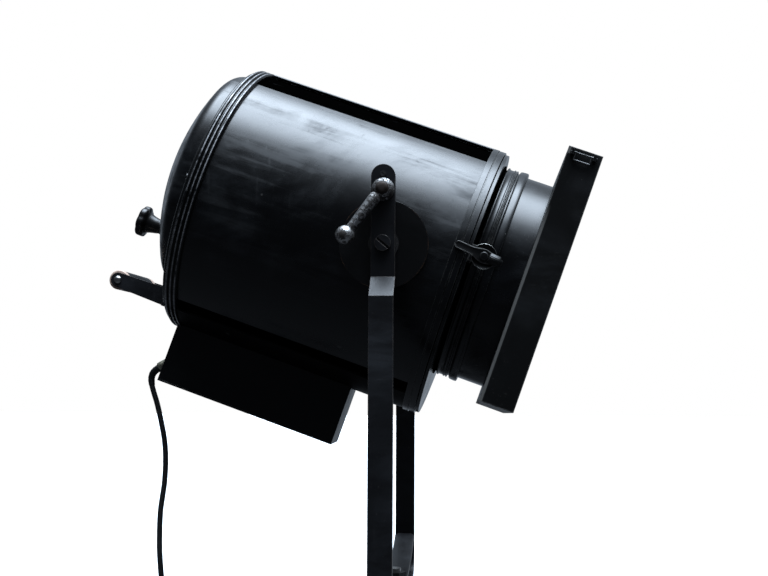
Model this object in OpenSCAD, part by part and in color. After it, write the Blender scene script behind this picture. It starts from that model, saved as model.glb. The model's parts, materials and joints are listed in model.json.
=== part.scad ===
// Fresnel spotlight: a drum housing on a flat-bar yoke, with a lens door and an accessory holder.
// +Z is up and +X is the way the lamp points. The origin is at the shoulder of the stand spigot.
// Head parts are drawn with X along the drum, Z across it and their origin on the tilt pivot,
// and pose_head() then tips them nose down.

/* [Pose] */
// Nose-down tilt of the head
tilt = 19.6; // [18:0.1:22]
// Roll of the accessory holder about the lens axis
holder_roll = -2.15; // [-3:0.05:0]

/* [Yoke] */
// Height of the tilt pivot above the spigot's shoulder
pivot_h = 410; // [400:1:440]
// Width of the yoke's flat bar
bar_w = 25.4; // [24:0.1:26]
// Thickness of the yoke's flat bar
bar_t = 6; // [5:0.5:6]
// Outer half width of the lower yoke
yoke_low = 199.3; // [198:0.1:204]
// Outer half width of the upper yoke
yoke_high = 177.2; // [176.8:0.1:178]
// Height of the arm's top above the pivot
arm_top = 83.5; // [80:0.5:88]
// Diameter of the stand spigot
spigot_d = 28.6; // [28:0.1:29]
// Length of the stand spigot
spigot_l = 76; // [60:1:90]

/* [Drum] */
// Outer radius of the drum's skin
skin_r = 158.2; // [157.5:0.1:158.6]
// Outer radius of the end rings
ring_r = 163; // [162.5:0.1:163.5]
// Rear end of the skin
skin_rear = -209; // [-215:1:-207]
// Front end of the skin
skin_front = 69; // [68:0.5:70]
// Radius of the rear dome
dome_r = 134; // [128:1:138]
// Depth of the straight side of the rear dome
dome_side = 12; // [8:1:16]

/* [Front] */
// Height of the lens axis above the drum's axis
lens_lift = 18.6; // [17:0.1:20]
// Outer radius of the snout
snout_r = 124.7; // [123:0.1:125]
// Station of the holder's back
holder_back = 148; // [146:0.5:150]
// Depth of the accessory holder
holder_depth = 38; // [34:1:42]
// Half side of the accessory holder
holder_half = 144.1; // [142:0.1:146]

/* [Terminal box] */
// Bottom of the box below the pivot
box_bottom = 229.2; // [220:0.2:235]
// Width of the box
box_w = 61.6; // [56:0.2:66]
// Rear end of the box
box_rear = -215; // [-216:1:-212]
// Front end of the box
box_front = 5; // [0:1:12]

/* [Controls] */
// Height of the clamp screw above the pivot
clamp_h = 56.5; // [56:0.1:58]
// Length of the clamp lever from its screw to its ball
lever_l = 63; // [56:0.5:66]
// Diameter of the focus knob
knob_d = 38; // [36:1:44]

/* [Cord] */
// Diameter of the mains cord
cord_d = 6.5; // [6:0.1:7]
// Radius of the coil at the middle of its turns
coil_r = 35; // [33:1:39]

/* [Hidden] */
$fn = 96;

gap = 0.3;          // between curved faces on different bodies
fit = 0.05;         // radial clearance of a running fit
sheet = 2;          // thickness of the sheet metal
black = "#17181a";
worn = "#8b8a86";

// Yoke
bend_r = 28;                       // outer radius of the lower bends
joggle_top = -35;                  // heights of the joggle below the pivot
joggle_bottom = -56;
base_under = 6 - pivot_h;          // underside of the bar at the stand, from the pivot
saddle_r = 600;                    // radius of the saddle's upper face
saddle_mid = -381;                 // upper face of the saddle at the middle, from the pivot
saddle_t = 5;
saddle_half = yoke_low - bar_t - 0.5;
stud_d = 16;
nut_af = 24;
pivot_d = 10;
disc_r = 47.2;
disc_out = 169.4;                  // outer face of the friction disc
disc_t = 3.2;
clamp_d = 8;

// Drum
skin_top = 56.6;                   // ends of the side skins, in degrees above and below the horizontal
skin_low = 54.9;
liner_r = 149.5;
cap_half = 32.5;                   // half width of the vent's cap
cover_half = 29;                   // half angle of the bottom cover, in degrees
ring_rear = -223;
plate_rear = -227;
ring_front = 83;
dome_lift = 16;
shoulder_r = 15;
crown_r = 260;
dome_end = plate_rear - dome_side;
crown_x = dome_end + sqrt(pow(crown_r - shoulder_r, 2) - pow(dome_r - shoulder_r, 2));
handle_low = -133;                 // height of the handle
handle_end = -293;
handle_half = 57;
grip_d = 23;

// Focus drive
focus_low = -57;
focus_end = -307;
focus_neck = 28;
screw_d = 8;
rail_y = 45;
rail_d = 8;

// Front
plate_back = 84;
plate_front = 87.5;
lens_r = 117;
hinge_x = 83.5;
hinge_y = 168.5;
hinge_d = 5;
knuckle_d = 9;
latch_x = 103;
latch_z = 23;
latch_y = -164.5;
latch_stud = 6;
latch_short = 15;
keeper_x = 74;
keeper_z = 26;
holder_front = holder_back + holder_depth;
catch_x = 166;

// Cord: the route from the gland down to the coil, then the tail that ends in the plug
gland_z = -208;
gland_droop = 50;
gland_reach = 14;
cord_route = [[-285.5, 0, 280.9], [-290.5, 0, 277.7], [-294, 0, 273.5], [-295.5, 0, 267.5],
    [-294.5, -1, 260], [-291.5, -2, 250.5], [-287.5, -3, 239.5], [-284, -4, 227.5], [-280, -6, 213.5],
    [-276.5, -8, 199.5], [-274, -10, 185.5], [-272.5, -12.5, 171], [-272, -15, 157],
    [-272, -18, 143], [-273, -21, 129], [-274, -24, 115], [-274, -26.5, 100.5], [-273.5, -28.5, 86.5],
    [-272.5, -31, 72], [-271, -33, 57.5], [-269, -34.5, 42], [-267, -35, 27], [-266, -35, 12],
    [-266, -35, -3]];
coil_at = [-266, 0, -28];
bundle_r = 10.3;
tail_low = -56;
plug_top = -84;
plug_l = 44;

module pose_head() {
    translate([0, 0, pivot_h]) rotate([0, tilt, 0]) children();
}

module pose_pivot() {
    translate([0, 0, pivot_h]) children();
}

module pose_holder() {
    pose_head() translate([0, 0, lens_lift]) rotate([holder_roll, 0, 0]) children();
}

// A profile of across and up, drawn out along X from one station to the next
module drawn(from, to) {
    translate([from, 0, 0]) rotate([90, 0, 90]) linear_extrude(to - from) children();
}

// A profile of radius and station, turned about X
module turned() {
    rotate([0, 90, 0]) rotate_extrude() children();
}

module rod_x(from, to, d) {
    translate([from, 0, 0]) rotate([0, 90, 0]) cylinder(h = to - from, d = d);
}

module rod_y(from, to, d) {
    translate([0, from, 0]) rotate([-90, 0, 0]) cylinder(h = to - from, d = d);
}

module ring_2d(outer, inner) {
    difference() {
        circle(outer);
        circle(inner);
    }
}

// A slice of a ring, from one angle to the next about the drum's axis, at the +Y side
module sector_2d(outer, inner, low, high) {
    reach = outer * 1.5;
    middle = (low + high) / 2;
    intersection() {
        ring_2d(outer, inner);
        polygon([[0, 0], [reach * cos(low), reach * sin(low)],
            [reach * cos(middle), reach * sin(middle)], [reach * cos(high), reach * sin(high)]]);
    }
}

module screw_head_y(d, h, side) {
    slot_w = d / 7;
    difference() {
        rotate([side * -90, 0, 0]) cylinder(h = h, d = d);
        rotate([0, 40, 0]) translate([-d, side > 0 ? h * 0.6 : -h * 1.1, -slot_w / 2])
            cube([2 * d, h * 0.5, slot_w]);
    }
}

// Yoke

module yoke_half_2d() {
    inner = yoke_low - bar_t;
    high_in = yoke_high - bar_t;
    corner = yoke_low - bend_r;
    translate([0, base_under]) square([corner, bar_t]);
    translate([corner, base_under + bend_r]) intersection() {
        ring_2d(bend_r, bend_r - bar_t);
        translate([0, -bend_r]) square(bend_r);
    }
    translate([inner, base_under + bend_r])
        square([bar_t, joggle_bottom - base_under - bend_r]);
    polygon([[inner, joggle_bottom], [yoke_low, joggle_bottom], [yoke_high, joggle_top],
        [high_in, joggle_top]]);
    translate([high_in, joggle_top]) square([bar_t, arm_top - joggle_top]);
}

module yoke_bar() {
    color(black) pose_pivot() difference() {
        intersection() {
            drawn(-bar_w / 2, bar_w / 2) {
                yoke_half_2d();
                mirror([1, 0]) yoke_half_2d();
            }
            union() {
                translate([-bar_w, -2 * yoke_low, -2 * pivot_h])
                    cube([2 * bar_w, 4 * yoke_low, 2 * pivot_h + arm_top - bar_w / 2]);
                translate([0, 0, arm_top - bar_w / 2]) rod_y(-2 * yoke_low, 2 * yoke_low, bar_w);
            }
        }
        rod_y(-2 * yoke_low, 2 * yoke_low, pivot_d + 0.6);
        translate([0, 0, clamp_h]) rod_y(-2 * yoke_low, 0, clamp_d + 2 * fit);
        translate([0, 0, base_under - 1]) cylinder(h = bar_t + 2, d = stud_d + 1);
    }
}

module yoke_saddle() {
    corner = 5;
    color(black) pose_pivot() difference() {
        intersection() {
            drawn(-bar_w / 2, bar_w / 2)
                translate([0, saddle_mid + saddle_r]) ring_2d(saddle_r + saddle_t, saddle_r);
            translate([0, 0, saddle_mid - 10]) linear_extrude(60) polygon([
                for (k = [-1, 1]) each [[k * (bar_w / 2 - corner), k * saddle_half],
                    [k * bar_w / 2, k * (saddle_half - corner)],
                    [k * bar_w / 2, k * (corner - saddle_half)],
                    [k * (bar_w / 2 - corner), -k * saddle_half]]]);
        }
        translate([0, 0, saddle_mid - 10]) cylinder(h = 20, d = stud_d + 1);
    }
}

module stand_spigot() {
    chamfer = 3;
    color("#b5b4ae") {
        cylinder(h = 6, d = 42);
        translate([0, 0, -spigot_l + chamfer]) cylinder(h = spigot_l - chamfer, d = spigot_d);
        translate([0, 0, -spigot_l])
            cylinder(h = chamfer, d1 = spigot_d - 2 * chamfer, d2 = spigot_d);
        translate([0, 0, 6]) cylinder(h = 42, d = stud_d);
    }
}

module stand_fasteners() {
    base_top = 6 + bar_t;
    under = pivot_h + saddle_mid - saddle_t;
    color(worn) {
        translate([0, 0, base_top]) linear_extrude(under - base_top)
            ring_2d(16, stud_d / 2 + 0.5);
        translate([0, 0, under + saddle_t + 0.2]) linear_extrude(2.5) ring_2d(15, stud_d / 2 + 0.5);
        translate([0, 0, under + saddle_t + 2.7]) linear_extrude(12) difference() {
            circle(d = nut_af / cos(30), $fn = 6);
            circle(d = stud_d + 0.1);
        }
    }
}

module pivot_screws() {
    head_h = 5.6;
    color(worn) pose_pivot() for (side = [-1, 1]) {
        translate([0, side * (yoke_high + 0.1), 0]) screw_head_y(17, head_h, side);
        from = side * (yoke_high + 0.1);
        to = side * (disc_out - 24);
        rod_y(min(from, to), max(from, to), pivot_d);
    }
}

module friction_washers() {
    inner = disc_out + 0.1;
    color("#4a3626") pose_pivot() for (side = [-1, 1]) difference() {
        rod_y(side > 0 ? inner : -inner - 1.6, side > 0 ? inner + 1.6 : -inner, 32);
        rod_y(side > 0 ? inner - 1 : -inner - 3, side > 0 ? inner + 3 : 1 - inner, pivot_d + 0.4);
    }
}

// A toe clamp behind the near friction disc's rim, drawn up against the yoke arm by the clamp screw
module clamp_shoe() {
    outer = yoke_high - bar_t - 0.1;
    behind = disc_out - disc_t - gap;
    inner = 160.2;
    heel = disc_r + 1;
    color(black) pose_pivot() difference() {
        union() {
            translate([-11, -outer, heel]) cube([22, outer - inner, 26]);
            translate([-11, -behind, heel - 8]) cube([22, behind - inner, 10]);
        }
        translate([0, 0, clamp_h]) rod_y(-outer - 1, -inner + 1, clamp_d + 2 * fit);
        rod_y(-outer - 1, -behind + 0.01, 2 * heel);
    }
}

module shoe_screw() {
    color(worn) pose_pivot() translate([0, -yoke_high - 0.05, 73]) screw_head_y(6, 1.8, -1);
}

module clamp_hub() {
    hub_out = yoke_high + 13;
    color(worn) pose_pivot() translate([0, 0, clamp_h]) {
        rod_y(-yoke_high - 1, -161.5, clamp_d);
        rod_y(-yoke_high - 3.2, -yoke_high - 0.1, 24);
        rod_y(-hub_out, -yoke_high - 3.2, 21);
        rod_y(-hub_out - 2.5, -hub_out, 12);
    }
}

// The bent lever: a round rod that slants outwards to its ball
module clamp_handle() {
    root = [0, -yoke_high - 8.5, clamp_h];
    down = 142.5;
    lift = 7;
    color(worn) pose_pivot() translate(root) rotate([0, -down, 0]) rotate([lift, 0, 0]) {
        translate([0, 0, 10.8]) cylinder(h = lever_l - 18, d1 = 13, d2 = 9.5);
        translate([0, 0, lever_l]) sphere(d = 20);
    }
}

module friction_discs() {
    color(black) pose_head() for (side = [-1, 1]) difference() {
        union() {
            rod_y(side > 0 ? disc_out - disc_t : -disc_out, side > 0 ? disc_out : disc_t - disc_out,
                2 * disc_r);
            rod_y(side > 0 ? 150 : disc_t - disc_out, side > 0 ? disc_out - disc_t : -150, 46);
        }
        rod_x(-60, 60, 2 * (skin_r + 0.05));
        rod_y(side > 0 ? 100 : -200, side > 0 ? 200 : -100, pivot_d + 2 * fit);
    }
}

// Drum

module rear_ring() {
    color(black) pose_head() turned() {
        translate([liner_r + 0.1, ring_rear]) square([ring_r - 2 - liner_r - 0.1, skin_rear - ring_rear]);
        translate([liner_r + 0.1, skin_rear]) square([skin_r - sheet - liner_r - 0.2, 6]);
        for (at = [1.8, 6.8, 11.8])
            translate([ring_r - 2, ring_rear + at]) circle(2, $fn = 32);
    }
}

module front_ring() {
    band = (ring_front - skin_front - 1.4) / 2;
    color(black) pose_head() turned() {
        translate([liner_r + 0.1, skin_front])
            square([ring_r - 1.6 - liner_r, ring_front - skin_front]);
        translate([liner_r + 0.1, skin_front - 6]) square([skin_r - sheet - liner_r - 0.2, 6]);
        translate([liner_r + 5, skin_front]) square([ring_r - liner_r - 5, band]);
        translate([liner_r + 5, ring_front - band]) square([ring_r - 0.4 - liner_r - 5, band]);
    }
}

// One side skin of the drum, at the +Y side
module side_skin() {
    pose_head() drawn(skin_rear + 0.1, skin_front - 0.1)
        sector_2d(skin_r, skin_r - sheet, -skin_low, skin_top);
}

module skin_far() {
    color(black) difference() {
        side_skin();
        pose_head() rod_y(100, 200, 16);
    }
}

module skin_near() {
    color(black) difference() {
        mirror([0, 1, 0]) side_skin();
        pose_head() rod_y(-200, -100, 16);
    }
}

module liner() {
    color("#232323") pose_head() difference() {
        drawn(skin_rear - 10, skin_front + 10) ring_2d(liner_r, liner_r - 1.5);
        rod_y(-200, 200, 16);
    }
}

module tie_rods() {
    rod_r = (liner_r + skin_r - sheet) / 2;
    color(worn) pose_head() for (side = [-1, 1], angle = [skin_top + 2.4, -skin_low - 2.6])
        translate([0, side * rod_r * cos(angle), rod_r * sin(angle)])
            rod_x(skin_rear + 6.1, skin_front - 6.1, 5.6);
}

// The two walls of the ridge vent, which stand on the liner and carry its cap
module vent_duct() {
    foot = sqrt(pow(liner_r, 2) - pow(cap_half - 2.75, 2)) + 0.1;
    from = skin_rear + 6.1;
    long = skin_front - 6.1 - from;
    color(black) pose_head() for (side = [-1, 1]) {
        translate([from, side * (cap_half - 2) - 0.75, foot]) cube([long, 1.5, 155.6 - foot]);
        translate([from, side * (cap_half - 5.75) - 4.5, 154.1]) cube([long, 9, 1.5]);
    }
}

module vent_cap() {
    half_angle = asin(cap_half / ring_r);
    bead = 2;
    color(black) pose_head() {
        drawn(skin_rear + 0.1, skin_front - 0.1)
            rotate(90) sector_2d(ring_r - 1, ring_r - 2.6, -half_angle, half_angle);
        for (side = [-1, 1])
            translate([0, side * (ring_r - 2) * sin(half_angle), (ring_r - 2) * cos(half_angle)])
                rod_x(skin_rear + 0.1, skin_front - 0.1, 2 * bead);
    }
}

module bottom_cover() {
    bead = 2;
    color(black) pose_head() {
        drawn(skin_rear + 0.1, skin_front - 0.1)
            rotate(-90) sector_2d(ring_r - 1.5, ring_r - 3.5, -cover_half, cover_half);
        for (side = [-1, 1])
            translate([0, side * (ring_r - 2.5) * sin(cover_half), -(ring_r - 2.5) * cos(cover_half)])
                rod_x(skin_rear + 0.1, skin_front - 0.1, 2 * bead);
    }
}

// The flat back of the drum, with a rolled rim and a round opening for the dome
module rear_plate() {
    color(black) pose_head() difference() {
        turned() {
            translate([0, plate_rear]) square([ring_r - 5, ring_rear - plate_rear - 0.05]);
            translate([ring_r - 5, (plate_rear + ring_rear) / 2]) circle(1.95, $fn = 32);
        }
        translate([0, 0, dome_lift]) rod_x(plate_rear - 1, ring_rear + 1, 2 * (dome_r - 8));
    }
}

// The dome's outline at a depth below its outer face, from the plate to the crown
module dome_2d(inset) {
    side_r = dome_r - inset;
    translate([0, dome_end]) square([side_r, dome_side + 1]);
    translate([dome_r - shoulder_r, dome_end]) circle(shoulder_r - inset);
    translate([0, dome_end - shoulder_r + inset + 1])
        square([dome_r - shoulder_r, shoulder_r - inset]);
    intersection() {
        translate([0, crown_x]) circle(crown_r - inset, $fn = 192);
        translate([0, crown_x - crown_r - 1])
            square([(dome_r - shoulder_r) * crown_r / (crown_r - shoulder_r), 40]);
    }
}

// The dome is a thin shell, with a boss where the focus screw comes out
module rear_dome() {
    boss_end = focus_end + focus_neck + 0.5;
    tail = crown_x - crown_r - 5;
    color(black) pose_head() translate([0, 0, dome_lift]) difference() {
        union() {
            turned() difference() {
                intersection() {
                    dome_2d(0);
                    translate([0, tail]) square([dome_r + 5, plate_rear - 0.05 - tail]);
                }
                dome_2d(sheet);
            }
            translate([0, 0, focus_low - dome_lift]) rod_x(boss_end, boss_end + 7, 22);
        }
        translate([0, 0, focus_low - dome_lift]) rod_x(focus_end, dome_end, 13);
    }
}

module rear_screws() {
    screws = 6;
    color(worn) pose_head() {
        for (k = [0 : screws - 1])
            rotate([k * 360 / screws + 30, 0, 0]) translate([0, 0, 153.5])
                rod_x(plate_rear - 2, plate_rear - 0.05, 7);
        for (side = [-1, 1])
            translate([handle_end, side * (handle_half + 1.6), handle_low]) screw_head_y(9, 3, side);
    }
}

module handle_bracket() {
    root_h = 21;
    end_h = 17;
    thick = 3;
    root_x = plate_rear - 0.1;
    color(black) pose_head() for (side = [-1, 1]) {
        translate([0, side * handle_half + thick / 2, handle_low]) {
            rotate([90, 0, 0]) linear_extrude(thick) polygon([[handle_end, end_h / 2],
                [root_x, root_h / 2], [root_x, -root_h / 2], [handle_end, -end_h / 2]]);
            translate([handle_end, 0, 0]) rod_y(-thick, 0, end_h);
        }
        translate([root_x - thick, side * (handle_half + 7.4) - 7.5, handle_low - root_h / 2])
            cube([thick, 15, root_h]);
    }
}

module handle_grip() {
    half = handle_half - 1.6;
    color("#8a6a52") pose_head() translate([handle_end, 0, handle_low]) {
        rod_y(-half, half, grip_d - 3);
        for (at = [-half + 5, half - 5]) rod_y(at - 4.9, at + 4.9, grip_d);
        rod_y(-half + 18, half - 18, grip_d);
    }
}

module guide_rods() {
    color("silver") pose_head() for (side = [-1, 1])
        translate([0, side * rail_y, focus_low]) rod_x(-214, 62, rail_d);
}

// Cross plates that hold the guide rods and the ends of the focus screw
module rod_brackets() {
    color(black) pose_head() for (at = [-210, 54]) difference() {
        drawn(at, at + 4) intersection() {
            circle(liner_r - 2);
            translate([-90, focus_low - 14]) square([180, 28]);
        }
        for (y = [-rail_y, rail_y]) translate([0, y, focus_low]) rod_x(at - 1, at + 5, rail_d + 0.1);
        translate([0, 0, focus_low]) rod_x(at - 1, at + 5, screw_d + 2 * fit);
    }
}

// Terminal box

module terminal_box() {
    top = -140;
    wall = 2;
    color(black) pose_head() difference() {
        translate([box_rear, -box_w / 2, -box_bottom + wall + 0.1])
            cube([box_front - box_rear, box_w, box_bottom + top - wall - 0.1]);
        translate([box_rear + wall, -box_w / 2 + wall, -box_bottom])
            cube([box_front - box_rear - 2 * wall, box_w - 2 * wall, box_bottom]);
        rod_x(box_rear - 1, box_front + 1, 2 * (ring_r - 1.45));
        rod_x(box_rear - 1, skin_rear + 0.1, 2 * (ring_r + 0.05));
        translate([0, 0, gland_z]) rod_x(box_rear - 1, box_rear + wall + 1, 9);
    }
}

module at_lid_screws() {
    for (x = [box_rear + 12, (box_rear + box_front) / 2, box_front - 12], side = [-1, 1])
        translate([x, side * (box_w / 2 - 8), -box_bottom]) children();
}

module box_lid() {
    color(black) pose_head() difference() {
        translate([box_rear, -box_w / 2, -box_bottom]) cube([box_front - box_rear, box_w, sheet]);
        at_lid_screws() translate([0, 0, -1]) cylinder(h = sheet + 2, d = 7.2);
    }
}

module lid_screws() {
    color(worn) pose_head() at_lid_screws() translate([0, 0, 0.2]) cylinder(h = sheet - 0.4, d = 7);
}

module terminal_block() {
    color("#cfc9b8") pose_head() translate([-150, -14, -box_bottom + sheet + 0.1])
        difference() {
            cube([60, 28, 20]);
            for (k = [0 : 2]) translate([10 + 20 * k, 14, 8]) cylinder(h = 13, d = 7);
        }
}

// An angled gland: a collar on the box and an outlet that points back and down
module cable_gland() {
    color("#9a8f78") pose_head() translate([box_rear - 2, 0, gland_z]) {
        rod_x(-0.5, 1.95, 17);
        rod_x(-4.5, -0.5, 14);
        translate([-2, 0, 0]) rotate([0, -90 - gland_droop, 0]) cylinder(h = gland_reach - 2, d = 10.5);
    }
}

// Hinge and keeper on the housing

module knuckle(from, to) {
    translate([hinge_x, hinge_y, 0]) difference() {
        translate([0, 0, from]) cylinder(h = to - from, d = knuckle_d);
        translate([0, 0, from - 1]) cylinder(h = to - from + 2, d = hinge_d + 2 * fit);
    }
}

module hinge_leaf() {
    color(black) pose_head() {
        for (span = [[-32, -11], [11, 32]]) {
            knuckle(span[0], span[1]);
            difference() {
                translate([62, ring_r + 0.2, span[0]])
                    cube([hinge_x - 62, 2.2, span[1] - span[0]]);
                translate([hinge_x, hinge_y, -50]) cylinder(h = 100, d = hinge_d + 2 * fit);
            }
        }
        translate([62, ring_r + 0.2, -32]) cube([16, 2.2, 64]);
    }
}

module hinge_pin() {
    color("silver") pose_head() translate([hinge_x, hinge_y, 0]) {
        translate([0, 0, -33]) cylinder(h = 66, d = hinge_d);
        translate([0, 0, 32.2]) cylinder(h = 2, d = knuckle_d - 1);
    }
}

module keeper_button() {
    color("silver") pose_head() translate([keeper_x, 0, keeper_z]) rod_y(-163.9, -158.6, 8);
}

// Focus drive

module focus_knob() {
    lobes = 7;
    thick = 10;
    color("#101010") pose_head() translate([focus_end, 0, focus_low]) difference() {
        union() {
            difference() {
                rod_x(-thick / 2, thick / 2, knob_d);
                for (k = [0 : lobes - 1]) rotate([k * 360 / lobes, 0, 0])
                    translate([0, 0, knob_d / 2 + 3]) rod_x(-thick, thick, 10);
            }
            translate([thick / 2, 0, 0]) rotate([0, 90, 0])
                cylinder(h = focus_neck - thick / 2, d1 = 24, d2 = 17);
        }
        rod_x(thick / 2 + 1, focus_neck + 1, 9);
    }
}

module focus_screw() {
    color("silver") pose_head() translate([0, 0, focus_low]) rod_x(focus_end + 6.1, 60, screw_d);
}

module lamp_carriage() {
    at = -140;
    color("#55585a") pose_head() difference() {
        union() {
            translate([at, -58, focus_low - 12]) cube([70, 116, 24]);
            translate([at + 8, -30, focus_low + 12]) cube([54, 60, 6]);
        }
        for (y = [-rail_y, rail_y]) translate([0, y, focus_low]) rod_x(at - 1, at + 71, rail_d + 0.1);
        translate([0, 0, focus_low]) rod_x(at - 1, at + 71, screw_d + 2 * fit);
    }
}

module lamp_socket() {
    color("#d8d2c4") pose_head() translate([-105, 0, focus_low + 18.05]) difference() {
        cylinder(h = 26, d = 46);
        translate([0, 0, 20]) cylinder(h = 7, d = 29);
    }
}

module lamp() {
    color("#dfe6ea", 0.5) pose_head() translate([-105, 0, focus_low + 38.2]) {
        cylinder(h = 8, d = 28);
        translate([0, 0, 34]) sphere(d = 62);
        cylinder(h = 20, d = 24);
    }
}

module reflector() {
    color("#d0d2d4") pose_head() translate([-105, 0, lens_lift]) difference() {
        rotate([0, -90, 0]) rotate_extrude() intersection() {
            ring_2d(56, 54.5);
            translate([0, 26]) square([60, 40]);
        }
        translate([-70, -60, -80]) cube([140, 120, 28]);
    }
}

// Lens door

module door_plate() {
    color(black) pose_head() difference() {
        drawn(plate_back, plate_front) difference() {
            circle(ring_r - 2.5);
            translate([0, lens_lift]) circle(lens_r + 1);
        }
    }
}

module door_leaf() {
    color(black) pose_head() {
        knuckle(-10.7, 10.7);
        difference() {
            translate([plate_front + 0.05, 136, -10.7]) cube([2.4, hinge_y - 136, 21.4]);
            translate([hinge_x, hinge_y, -50]) cylinder(h = 100, d = hinge_d + 2 * fit);
        }
    }
}

module snout() {
    color(black) pose_head() translate([0, 0, lens_lift])
        drawn(plate_front + 0.05, holder_back - 0.3) ring_2d(snout_r, snout_r - sheet);
}

module snout_beads() {
    start = plate_front + 0.1;
    color(black) pose_head() translate([0, 0, lens_lift]) turned() {
        difference() {
            union() {
                translate([snout_r + 0.05, start]) square([5.5, 3]);
                translate([snout_r + 0.05, start]) square([3, 29]);
                translate([snout_r + 3, start + 5]) circle(1.6, $fn = 32);
                translate([snout_r + 3, start + 27]) circle(2.2, $fn = 32);
            }
            translate([0, start - 5]) square([snout_r + 0.05, 50]);
        }
    }
}

// A plano-convex lens cut back into rings that step outwards from its central bull's eye
module fresnel_lens() {
    rings = 6;
    eye = 30;
    eye_r = 66;
    back = 100;
    crest = back + 14;
    rim = lens_r - 1;
    pitch = (rim - eye) / rings;
    dome = [for (k = [0 : 6]) let (r = eye * k / 6) [r, crest - eye_r + sqrt(eye_r * eye_r - r * r)]];
    steps = [for (k = [0 : rings - 1]) let (r = eye + k * pitch)
        each [[r, crest], [r + pitch, back + 7.5]]];
    color("#dfe8e6", 0.4) pose_head() translate([0, 0, lens_lift]) turned()
        polygon(concat([[0, back]], dome, steps, [[rim, back]]));
}

module lens_ring() {
    color("#2a2a2a") pose_head() translate([0, 0, lens_lift]) turned() {
        translate([lens_r - 6, 110]) square([6, 2]);
        translate([lens_r - 0.8, 97]) square([snout_r - sheet - 0.1 - lens_r + 0.8, 15]);
        translate([lens_r - 6, 97]) square([6, 2.8]);
    }
}

// Door latch: a bar that turns on a bracket on the door. Its long arm lies over the keeper's button,
// and its short one carries a thumb knob.

module latch_bracket() {
    color(black) pose_head() difference() {
        union() {
            translate([plate_front + 0.1, -161.5, latch_z - 9]) cube([latch_x + 8 - plate_front, 3, 18]);
            translate([plate_front + 0.1, -161.5, latch_z - 9]) cube([3, 26, 18]);
        }
        translate([latch_x, 0, latch_z]) rod_y(-170, -150, latch_stud + 2 * fit);
    }
}

// The latch's stud, and the cupped spring washer under its bar
module latch_pivot() {
    washer_d = 27;
    color(worn) pose_head() translate([latch_x, 0, latch_z]) {
        rod_y(latch_y - 4.5, -157, latch_stud);
        rod_y(latch_y - 4.5, latch_y - 2.7, 9);
        difference() {
            rod_y(latch_y + 0.1, latch_y + 1.5, washer_d);
            rod_y(latch_y - 1, latch_y + 2, latch_stud + 0.1);
        }
    }
}

module pose_latch() {
    run = [keeper_x - latch_x, keeper_z - latch_z];
    pose_head() translate([latch_x, 0, latch_z]) rotate([0, atan2(run[1], -run[0]), 0]) children();
}

module latch_lever() {
    thick = 2.6;
    long = norm([keeper_x - latch_x, keeper_z - latch_z]);
    end_d = 8.5;
    middle_d = 15;
    color(black) pose_latch() difference() {
        union() {
            translate([0, latch_y, 0]) rotate([90, 0, 0]) linear_extrude(thick)
                polygon([[-long, end_d / 2], [0, middle_d / 2], [latch_short, end_d / 2],
                    [latch_short, -end_d / 2], [0, -middle_d / 2], [-long, -end_d / 2]]);
            translate([-long, 0, 0]) rod_y(latch_y - thick, latch_y, end_d);
            rod_y(latch_y - thick, latch_y, middle_d);
        }
        rod_y(latch_y - 4, latch_y + 1, latch_stud + 0.1);
    }
}

module latch_knob() {
    color(worn) pose_latch() translate([latch_short - 5.5, 0, 0]) {
        rod_y(latch_y - 4.4, latch_y - 2.65, 7);
        translate([0, latch_y - 8.7, 0]) difference() {
            rod_x(-4.5, 11, 12);
            for (k = [0 : 9]) rotate([k * 36, 0, 0]) translate([0, 0, 6.5]) rod_x(-3, 9, 2);
        }
    }
}

// Accessory holder

module square_2d(half) {
    translate([-half, -half]) square(2 * half);
}

module holder_box() {
    lip = 7;
    slot_half = 127;
    color(black) pose_holder() difference() {
        union() {
            drawn(holder_back, holder_back + sheet) difference() {
                square_2d(holder_half);
                circle(snout_r - 5);
            }
            drawn(holder_back, holder_front) difference() {
                square_2d(holder_half);
                square_2d(holder_half - sheet);
            }
            drawn(holder_front - sheet, holder_front) difference() {
                square_2d(holder_half);
                square_2d(holder_half - lip);
            }
        }
        translate([holder_back + 8, -slot_half, holder_half - 10]) cube([22, 2 * slot_half, 20]);
    }
}

// Channels at the sides and the bottom that a colour frame slides down into
module holder_guides() {
    inner = holder_half - sheet - 0.1;
    depth = 15;
    color(black) pose_holder() {
        for (side = [-1, 1], x = [holder_back + 7, holder_back + 18, holder_back + 29])
            translate([x, side > 0 ? inner - depth : -inner, -inner + 1])
                cube([1.5, depth, 2 * inner - 12]);
        for (side = [-1, 1])
            translate([holder_back + 7, side > 0 ? inner - 1.5 : -inner, -inner + 1])
                cube([23.5, 1.5, 2 * inner - 12]);
        translate([holder_back + 7, -inner + depth + 1, -inner]) cube([23.5, 2 * (inner - depth - 1), 2]);
    }
}

// The collar that turns inside the snout's mouth
module holder_collar() {
    color("#2a2a2a") pose_holder() difference() {
        drawn(holder_back - 12, holder_back - 0.05)
            ring_2d(snout_r - sheet - fit, snout_r - sheet - 3);
        rod_x(holder_back - 20, holder_back + 5, 2 * (snout_r - 6));
    }
}

module catch_base() {
    ear = 3.5;
    inner = 10.5;
    color(black) pose_holder() for (x = [catch_x - inner - ear, catch_x + inner])
        translate([x, -holder_half - 5.5, holder_half - 9]) difference() {
            cube([ear, 5.4, 7]);
            translate([0, 2.7, 3.5]) rod_x(-1, ear + 1, 2.1);
        }
}

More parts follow.
